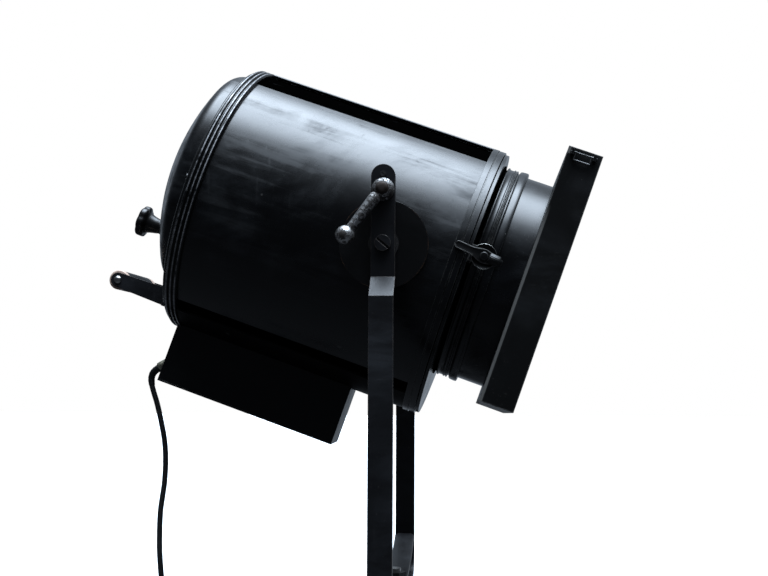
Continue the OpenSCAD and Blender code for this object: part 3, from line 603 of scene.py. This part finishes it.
def focus_knob():
    """A seven-lobed moulded knob with a coned hub."""
    lobes = 7

    def lobed(angle, distance):
        if distance > 5.2:
            return 1.0
        across = (angle * lobes / (2 * math.pi)) % 1.0 - 0.5
        return 1 - 0.075 * math.exp(-(across / 0.22) ** 2)

    bm = bmesh.new()
    lathe(bm, head(*KNOB_AT), AHEAD, [
        (-4.0, 0), (-4.2, 5), (-4.6, 11), (-5.0, 15), (-4.7, 17), (-3.6, 18.4), (-1.8, 19),
        (1.8, 19), (3.4, 18.3), (4.3, 16.8), (4.8, 14.6), (5.3, 13), (7.5, 11.8), (11, 10.6),
        (15, 9.7), (19, 8.9), (21, 8.2), (22, 8.0), (23, 8.5), (27.5, 8.5), (28, 8.1)],
        112, lobed)
    piece("focus_knob_moulded", bm, "focus", bakelite, "focus_knob", smooth=50)


def tilt_lever():
    """A turned lever: a boss with a riveted end, a tapered rod and a ball."""
    screw = Vector(joints["clamp_turn"]["pos_m"])
    out = -SIDE
    boss = Vector((screw.x, -CLAMP_FACE * MM, screw.z))
    bm = bmesh.new()
    lathe(bm, boss, out, [
        (-15.7, 0), (-15.7, 4), (-0.2, 4), (0.1, 11.4), (0.7, 12), (2.6, 12), (3.2, 11.4),
        (3.4, 10.4), (5, 10.2), (9.5, 10.2), (11.6, 9.6), (12.9, 8.2), (13.0, 0)], 72)
    piece("tilt_boss", bm, "clamp_lever", lever_metal, "clamp_hub", smooth=45)
    bm = bmesh.new()
    lathe(bm, boss, out, [
        (12.0, 0), (12.0, 6.9), (13.3, 6.9), (13.6, 6.4), (14.6, 5.6), (15.3, 4), (15.5, 1.6),
        (15.55, 0)], 56)
    piece("tilt_rivet", bm, "clamp_lever", rusty_metal)

    turned = math.radians(LEVER_TURN)
    lean = math.radians(LEVER_LEAN)
    along = Vector((-math.sin(turned) * math.cos(lean), -math.sin(lean),
                    math.cos(turned) * math.cos(lean)))
    root = boss + out * 8.5 * MM
    reach = 63      # to the ball's centre
    ball = 10       # its radius
    bm = bmesh.new()
    lathe(bm, root, along, [
        (8.4, 0), (8.5, 4.2), (10, 5.8), (12.5, 6.5), (16, 6.6), (24, 6.2), (34, 5.7), (44, 5.1),
        (50, 4.9), (reach - 8.4, 5.0)], 56)
    piece("tilt_handle", bm, "clamp_lever", lever_metal, "clamp_handle", smooth=60)
    steps = 18
    profile = []
    for k in range(steps + 1):
        angle = math.radians(150 * k / steps)
        profile.append((reach + ball * math.cos(angle), ball * math.sin(angle)))
    bm = bmesh.new()
    lathe(bm, root, along, profile, 56)
    piece("tilt_ball", bm, "clamp_lever", ball_metal, smooth=60)


def slotted(bm, place, out, radius, height, turned):
    """A round screw head with a slot across it, in two halves over the slot's floor."""
    across, other = basis(out)
    slot = (math.cos(math.radians(turned)) * across + math.sin(math.radians(turned)) * other)
    side = out.cross(slot)
    width = radius * 0.13
    floor = height * 0.5
    sides = 20
    start = math.asin(width / radius)
    rim = [start + (math.pi - 2 * start) * k / sides for k in range(sides + 1)]
    for sign in (-1, 1):
        levels = []
        for z, shrink in ((0, 0), (height - 0.35, 0), (height - 0.1, 0.12), (height, 0.4)):
            r = radius - shrink
            levels.append([bm.verts.new(place + (
                out * z + slot * r * math.cos(a)
                + side * sign * max(r * math.sin(a), width)) * MM) for a in rim])
        join(bm, levels)
        bm.faces.new(levels[0])
        bm.faces.new(levels[-1])
    slab(bm, place + out * (floor / 2) * MM, (slot, side, out),
         (2 * radius - 0.6, 2 * width + 0.1, floor))


def drum_screws():
    """Slotted cheese-head screws in the back plate, and domed ones in the handle's ends."""
    bm = bmesh.new()
    for k in range(6):
        angle = math.radians(60 * k + 120)
        place = head(PLATE_BACK, SCREW_CIRCLE * math.cos(angle), SCREW_CIRCLE * math.sin(angle))
        slotted(bm, place, -AHEAD, 3.5, 1.9, 25 * k)
    piece("plate_screws", bm, "head", screw_metal, "rear_screws")
    bm = bmesh.new()
    for side in (-1, 1):
        lathe(bm, head(GRIP_AT[0], side * ARM_SIDE, GRIP_AT[2]), side * SIDE, [
            (0, 0), (0, 4.3), (0.7, 4.4), (1.5, 3.9), (2.3, 2.8), (2.8, 1.4), (2.9, 0)], 40)
    piece("handle_screws", bm, "head", bright_metal)


def stepped_lens():
    """A fresnel lens: a central bull's eye and fine rings, on a flat back."""
    eye = 26
    rim = 115.8
    rings = 17
    pitch = (rim - 1.5 - eye) / rings
    profile = [(0.0, 0.0), (0.0, rim), (6.8, rim), (7.0, rim - 1.0)]
    for k in range(rings, 0, -1):
        outer = eye + k * pitch
        inner = outer - pitch
        lean = 2.2 + 2.6 * k / rings
        profile += [(7.2, outer), (7.2 + lean * 0.55, inner + pitch * 0.5),
                    (7.2 + lean, inner + 0.25)]
    profile += [(8.0, eye), (9.6, eye * 0.8), (11.2, eye * 0.55), (12.3, eye * 0.28), (12.7, 0.0)]
    bm = bmesh.new()
    lathe(bm, head(*LENS_AT), AHEAD, profile, 120)
    piece("stepped_lens", bm, "door", lens_glass, "fresnel_lens", smooth=30)


def gland():
    """A cast elbow gland with a hexagonal lock ring and a ribbed nut."""
    start = head(*GLAND_AT)
    droop = math.radians(50)
    down = (-AHEAD * math.cos(droop) - UP * math.sin(droop)).normalized()

    def hexagon(angle, distance):
        if distance < -0.1:
            return 1.0
        return 0.87 / max(math.cos((angle % (math.pi / 3)) - math.pi / 6), 0.87)

    def ribbed(angle, distance):
        return 1 - 0.03 * (0.5 + 0.5 * math.cos(16 * angle)) if 6 < distance < 12 else 1.0

    bm = bmesh.new()
    lathe(bm, start, -AHEAD, [
        (-1.9, 7.9), (-0.3, 7.9), (0, 8.4), (3.2, 8.4), (3.6, 7.6), (4.2, 6.6), (4.5, 5)],
        48, hexagon)
    lathe(bm, start - AHEAD * 2 * MM, down, [
        (0, 5.0), (3, 5.1), (5.4, 5.2), (6, 5.3), (11.4, 5.3), (12, 4.9), (12.0, 3.3)],
        64, ribbed)
    piece("gland_elbow", bm, "head", brass, "cable_gland", smooth=40)


def latch_bar(pivot, back, up, reach):
    """The latch's pressed bar: a long arm that bows over the button, and a short one for the
    thumb knob."""
    steps = 40
    low, high = -14.5, reach + 4.2
    tip = 4.2       # the radius of both ends
    section = ((-1, 0.3), (-0.96, 0), (0.96, 0), (1, 0.3), (1, 2.3), (0.86, 2.6), (0.6, 2.2),
               (-0.6, 2.2), (-0.86, 2.6), (-1, 2.3))
    bm = bmesh.new()
    rows = []
    for k in range(steps + 1):
        at = low + (high - low) * k / steps
        half = 4.2 + 3.3 * math.exp(-(at / 9.0) ** 2)
        end = min(at - low, high - at)
        if end < tip:
            half = max(0.4, math.sqrt(max(0.0, tip ** 2 - (tip - end) ** 2)))
        bow = 1.1 * math.sin(math.pi * min(max(at / reach, 0), 1)) if at > 0 else 0.0
        rows.append([bm.verts.new(pivot + (
            back * at + up * across * half - SIDE * (depth + bow)) * MM)
            for across, depth in section])
    join(bm, rows)
    bm.faces.new(rows[0])
    bm.faces.new(rows[-1])
    piece("latch_bar", bm, "latch", plate_paint, "latch_lever", smooth=40)


def latch_washer(pivot):
    """A stud head and a cupped spring washer, with its rim polished bright by use."""
    bm = bmesh.new()
    lathe(bm, pivot, -SIDE, [
        (-7.5, 0), (-7.5, 3), (2.6, 3), (2.7, 4.4), (3.6, 4.5), (4.3, 3.9), (4.5, 2), (4.5, 0)],
        36)
    lathe(bm, pivot, -SIDE, [
        (-1.5, 3.1), (-1.45, 8), (-0.6, 12.4), (0.0, 13.1), (0.3, 13.1), (0.2, 12.8),
        (-0.3, 12.0), (-1.1, 8), (-1.15, 3.1)], 72)
    piece("latch_spring", bm, "latch", box_paint, "latch_pivot", smooth=40)
    bm = bmesh.new()
    lathe(bm, pivot, -SIDE, [
        (0.0, 13.1), (0.0, 13.3), (0.3, 13.5), (0.6, 13.3), (0.5, 13.0), (0.0, 13.1)], 72)
    piece("washer_rim", bm, "latch", bright_metal, smooth=40)


def latch_thumb(pivot, back):
    """A fluted thumb knob along the latch's short arm, on its rivet."""

    def fluted(angle, distance):
        return 1 - 0.06 * (0.5 + 0.5 * math.cos(20 * angle)) if 0.5 < distance < 11.5 else 1.0

    bm = bmesh.new()
    lathe(bm, pivot - back * 5.2 * MM - SIDE * 8.7 * MM, -back, [
        (0, 0), (0, 4.6), (0.6, 5.4), (1.2, 5.9), (11, 5.9), (11.8, 5.4), (12.3, 4.2), (13, 3.6),
        (14.6, 3.4), (15.2, 2.6), (15.4, 0)], 80, fluted)
    lathe(bm, pivot - back * 9.5 * MM, -SIDE, [(2.4, 0), (2.4, 3.3), (4.2, 3.0), (4.6, 0)], 28)
    piece("thumb_knob", bm, "latch", box_paint, "latch_knob", smooth=50)


def latch():
    """The latch's three pieces, from its pivot back to the button."""
    pivot = Vector(joints["latch_turn"]["pos_m"])
    long_arm = head(*BUTTON_AT) - pivot
    back = long_arm.normalized()
    up = SIDE.cross(back).normalized()
    if up.z < 0:
        up = -up
    latch_bar(pivot, back, up, long_arm.length / MM)
    latch_washer(pivot)
    latch_thumb(pivot, back)


def snout_collar():
    """The snout's rolled collar: three narrow beads and a broad one, and at its root a dark flange in
    dead black that paints the shade in the gap there.
    """
    root = head(*SNOUT_ROOT)
    bm = bmesh.new()
    lathe(bm, root, AHEAD, [(d, SNOUT_RADIUS + r) for d, r in (
        (3.5, 0.05), (3.5, 1.8), (3.9, 3.2), (4.5, 4.3), (5.2, 4.5), (6.0, 4.2), (6.6, 3.2),
        (7.0, 2.9), (11.0, 2.9), (11.6, 3.2), (12.1, 4.0), (12.8, 4.2), (13.5, 3.9), (13.9, 2.9),
        (14.4, 2.9), (14.9, 3.9), (15.5, 4.2), (16.2, 3.9), (16.7, 2.4), (17.1, 1.4), (18.4, 1.4),
        (18.8, 3.2), (19.6, 4.3), (21, 4.8), (25, 5.1), (27.5, 5.15), (28.6, 4.6), (29.1, 3.2),
        (29.2, 0.05), (3.5, 0.05))], 144)
    piece("snout_collar", bm, "door", snout_paint, "snout_beads", smooth=40)
    # The flange, in dead black: painted shade in the gap at the snout's root.
    bm = bmesh.new()
    lathe(bm, root, AHEAD, [(d, SNOUT_RADIUS + r) for d, r in (
        (0, 0.05), (0, 5.2), (0.8, 5.3), (1.1, 4.9), (1.4, 1.2), (3.4, 1.1), (3.4, 0.05),
        (0, 0.05))], 144)
    piece("snout_flange", bm, "door", matt_black, smooth=40)


def grip():
    """The handle's grip: a core with a tan ring at each end, and a ribbed dark sleeve on it."""
    middle = head(*GRIP_AT)
    outer = 11.4
    bm = bmesh.new()
    lathe(bm, middle, SIDE, [
        (-55.4, 0), (-55.4, 9.8), (-55.2, 10.8), (-54.5, outer), (-46.4, outer), (-45.7, 10.8),
        (-45.5, 9.8), (45.5, 9.8), (45.7, 10.8), (46.4, outer), (54.5, outer), (55.2, 10.8),
        (55.4, 9.8), (55.4, 0)], 56)
    piece("grip_rings", bm, "head", grip_tan, "handle_grip")
    half = 45
    pitch = 2.1
    profile = [(-half, 0), (-half, 10.9), (-half + 0.6, outer)]
    for k in range(-20, 21):
        profile += [(k * pitch - 0.6, outer), (k * pitch, 11.2), (k * pitch + 0.6, outer)]
    profile += [(half - 0.6, outer), (half, 10.9), (half, 0)]
    bm = bmesh.new()
    lathe(bm, middle, SIDE, profile, 56)
    piece("grip_sleeve", bm, "head", rubber)


def catch_axle():
    """The wire catch's hinge pin, with a collar at each end."""
    centre = Vector(joints["catch_flip"]["pos_m"])
    bm = bmesh.new()
    lathe(bm, centre - AHEAD * 8.8 * MM, AHEAD, [
        (0, 0), (0, 1.2), (1.2, 1.2), (1.4, 0.7), (16.2, 0.7), (16.4, 1.2), (17.6, 1.2),
        (17.6, 0)], 20)
    piece("catch_axle", bm, "catch", screw_metal)


shade_strips()
focus_knob()
tilt_lever()
drum_screws()
stepped_lens()
gland()
latch()
snout_collar()
grip()
catch_axle()


# ---------------------------------------------------------------- cord

CORD = 6.5 * MM
# The cord hangs from the gland, bends down and falls beside the stand to its coil
ROUTE = [Vector(p) for p in (
    (-0.2855, 0, 0.2809), (-0.2905, 0, 0.2777), (-0.294, 0, 0.2735), (-0.2955, 0, 0.2675),
    (-0.2945, -0.001, 0.260), (-0.2915, -0.002, 0.2505), (-0.2875, -0.003, 0.2395),
    (-0.284, -0.004, 0.2275), (-0.280, -0.006, 0.2135), (-0.2765, -0.008, 0.1995),
    (-0.274, -0.010, 0.1855), (-0.2725, -0.0125, 0.171), (-0.272, -0.015, 0.157),
    (-0.272, -0.018, 0.143), (-0.273, -0.021, 0.129), (-0.274, -0.024, 0.115),
    (-0.274, -0.0265, 0.1005), (-0.2735, -0.0285, 0.0865), (-0.2725, -0.031, 0.072),
    (-0.271, -0.033, 0.0575), (-0.269, -0.0345, 0.042), (-0.267, -0.035, 0.027),
    (-0.266, -0.035, 0.012), (-0.266, -0.035, -0.003))]
COIL = Vector((-0.266, 0, -0.028))      # its middle
COIL_R = 35 * MM
TURNS = 7
PITCH = CORD + 0.3 * MM                 # from one turn to the next
CROSSING = 0.72                         # the share of a turn after which it moves to the next
PLUG_TOP = Vector((COIL.x, -COIL_R, -0.084))
DOWN = Vector((0, 0, -1))


def in_bundle(turn, share):
    """Where a turn lies across the bundle, out from the coil's middle and along its axis. The
    first is in the bundle's middle and the others lie round it."""
    move = max(0.0, (share - CROSSING) / (1 - CROSSING))
    move = move * move * (3 - 2 * move)
    if turn == 0:
        return move * PITCH, 0.0
    around = (turn - 1 + (move if turn < TURNS - 1 else 0)) * math.pi / 3
    return PITCH * math.cos(around), PITCH * math.sin(around)


def coil_points(per_turn=26):
    """The coil's centreline, turn after turn, from where the route ends."""
    line = []
    for step in range(TURNS * per_turn + 1):
        turn = min(step // per_turn, TURNS - 1)
        share = step / per_turn - turn
        out, along = in_bundle(turn, share)
        angle = 2 * math.pi * share
        reach = COIL_R + out
        line.append(COIL + Vector((along, -reach * math.cos(angle), -reach * math.sin(angle))))
    return line


def relief():
    """A ribbed taper over the cord's first stretch."""

    def ribbed(share):
        rib = 0.05 if int(share * 14) % 2 and share < 0.86 else 0.0
        return 1.42 - 0.30 * share + rib

    bm = bmesh.new()
    tube(bm, smooth_line(ROUTE[:5], 6), CORD / 2, sides=24, taper=ribbed)
    return piece("strain_relief", bm, "head", rubber, smooth=50)


def coil_strap():
    """A strap wound twice round the bundle, with its tongue."""
    inner = PITCH + CORD / 2 + 0.6 * MM
    outer = inner + 0.9 * MM
    middle = COIL + Vector((0, -COIL_R, 0))
    sides = 40
    bm = bmesh.new()
    for wind in (-1, 1):
        low = wind * 4.6 * MM - 4.2 * MM
        high = wind * 4.6 * MM + 4.2 * MM
        loops = []
        for r, z in ((inner, low), (outer, low), (outer, high), (inner, high)):
            loops.append([bm.verts.new(middle + Vector((r * math.cos(a), r * math.sin(a), z)))
                          for a in (2 * math.pi * k / sides for k in range(sides))])
        join(bm, loops + loops[:1])
    slab(bm, middle + Vector((-inner - 1.6 * MM, 0.0, -1 * MM)), (Vector((1, 0, 0)), SIDE, -DOWN),
         (1.0, 9, 24), 0.4)
    return piece("coil_strap", bm, "yoke", webbing, "coil_tie")


def plug():
    """A fluted grip, a collar and two pins."""

    def fluted(angle, distance):
        return 1 - 0.035 * (0.5 + 0.5 * math.cos(14 * angle)) if 9 < distance < 27 else 1.0

    bm = bmesh.new()
    lathe(bm, PLUG_TOP + Vector((0, 0, 0.004)), DOWN, [
        (0, 3.4), (0, 5.6), (3, 6.2), (5, 6.2), (5.6, 5.2), (7, 5.2), (7.6, 6.8), (9, 8),
        (12, 10.5), (18, 13.6), (24, 16), (27.5, 17.2), (28.2, 17.9), (30, 18), (45.5, 18),
        (47, 17.4), (48, 16)], 84, fluted)
    for side in (-1, 1):
        lathe(bm, PLUG_TOP + Vector((0, side * 9.5 * MM, -0.044)), DOWN, [
            (0, 2.9), (1, 2.9), (1.1, 2.4), (17.5, 2.4), (19, 1.6)], 24)
    return piece("mains_plug", bm, "yoke", rubber, "plug")


coil = coil_points()
tail = [coil[-1] + (PLUG_TOP - coil[-1]) * k / 4 for k in range(1, 5)]
cord_line = smooth_line(ROUTE, 4) + coil[1:] + tail

bm = bmesh.new()
tube(bm, cord_line, CORD / 2, sides=18)
mains_cord = piece("mains_cord", bm, None, rubber, "cord", "cord_coil", smooth=60)
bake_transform(mains_cord)
strain_relief = relief()
tie = coil_strap()
plug_body = plug()


# ---------------------------------------------------------------- light and floor

# Daylight from overhead: radiance by how near a direction is to the middle of the light
OVERHEAD = Vector((0.10, -0.06, 0.99)).normalized()
OVERHEAD_STOPS = [(0.45, 0.0), (0.62, 0.10), (0.78, 0.55), (0.86, 2.2), (0.93, 9.0), (0.97, 16.0)]
DAYLIGHT = (0.74, 0.86, 1.0)
ROOM = (0.030, 0.034, 0.042)
WALL = 0.45             # radiance from the far side, and from the ground
GROUND = 0.05
WHITE = rgba(1.0, 1.0, 1.0)

FLOOR_Z = -0.30
FLOOR_HALF = 14


def glow(sky, towards, stops):
    """Radiance along a list of (cosine, radiance), straight between them."""
    total = 0.0
    for (low, dim), (high, bright) in zip(stops, stops[1:]):
        total = sky.plus(total, sky.ramp(towards, low, high, 0.0, bright - dim))
    return total


def daylight():
    """The world: what it lights the object with, and plain white for the camera."""
    world = bpy.data.worlds.new("world")
    bpy.context.scene.world = world
    world.use_nodes = True
    sky = Graph.of(world.node_tree)
    sky.tree.nodes.clear()
    direction = sky.node("ShaderNodeTexCoord").outputs["Generated"]
    overhead = glow(sky, sky.dot(direction, OVERHEAD), OVERHEAD_STOPS)
    height = sky.dot(direction, Vector((0, 0, 1)))
    wall = sky.times(sky.ramp(sky.dot(direction, SIDE), 0.15, 0.9, 0.0, WALL),
                     sky.ramp(height, -0.45, -0.1))
    ground = sky.ramp(height, -0.4, -0.9, 0.0, GROUND)
    light = sky.scaled(DAYLIGHT, sky.plus(sky.plus(overhead, wall), ground))
    lit = sky.node("ShaderNodeBackground", {"Color": sky.vector("ADD", light, ROOM)})
    seen = sky.node("ShaderNodeBackground", {"Color": WHITE})
    path = sky.node("ShaderNodeLightPath")
    chosen = sky.node("ShaderNodeMixShader", {
        0: path.outputs["Is Camera Ray"], 1: lit.outputs[0], 2: seen.outputs[0]})
    sky.node("ShaderNodeOutputWorld", {"Surface": chosen.outputs[0]})


def pale_floor():
    """A wide pale floor that neither colours the object nor shows in its gloss."""
    bm = bmesh.new()
    bmesh.ops.create_grid(bm, x_segments=1, y_segments=1, size=FLOOR_HALF)
    mesh = bpy.data.meshes.new("floor")
    bm.to_mesh(mesh)
    bm.free()
    floor = bpy.data.objects.new("floor", mesh)
    floor.location.z = FLOOR_Z
    bpy.context.scene.collection.objects.link(floor)
    pale = Graph("floor_pale").set(Base_Color=rgba(0.9, 0.9, 0.9), Roughness=0.9,
                                   Specular_IOR_Level=0.1)
    mesh.materials.append(pale)
    floor.visible_glossy = False
    floor.visible_diffuse = False


daylight()
pale_floor()
